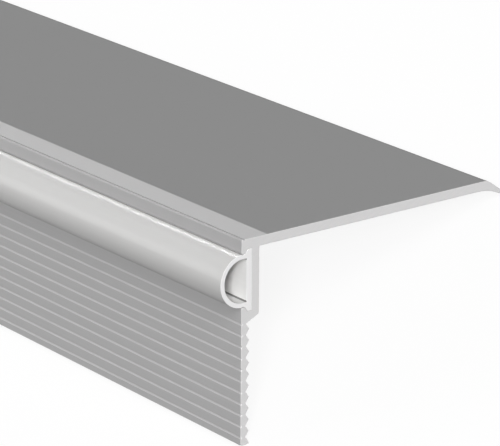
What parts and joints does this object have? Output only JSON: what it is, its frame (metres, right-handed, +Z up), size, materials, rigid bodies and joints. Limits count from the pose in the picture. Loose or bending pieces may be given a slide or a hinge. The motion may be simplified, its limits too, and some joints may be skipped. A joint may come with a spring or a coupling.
{
  "type": "stair nosing strip",
  "caption": "Length of stair nosing: an aluminium angle with a ramped tread plate, a scored and toothed riser leg, and a half round plastic insert clipped into its nose.",
  "frame": {"origin": "middle of the floor area that the strip covers, as it lies on the foot of its leg and the tip of its ramp", "axes": "+X along the strip; +Y towards the ramp, with the riser face and the half round insert towards -Y; +Z up"},
  "size_m": [1, 0.0826, 0.0396],
  "materials": {
    "anodised_aluminium": "silver anodised, with a dark grey matt zone over the tread behind the nose",
    "opal_plastic": "smooth off-white plastic with a soft sheen"
  },
  "bodies": {
    "root": {"nosing_profile": "anodised_aluminium", "half_round_insert": "opal_plastic"}
  },
  "joints": []
}
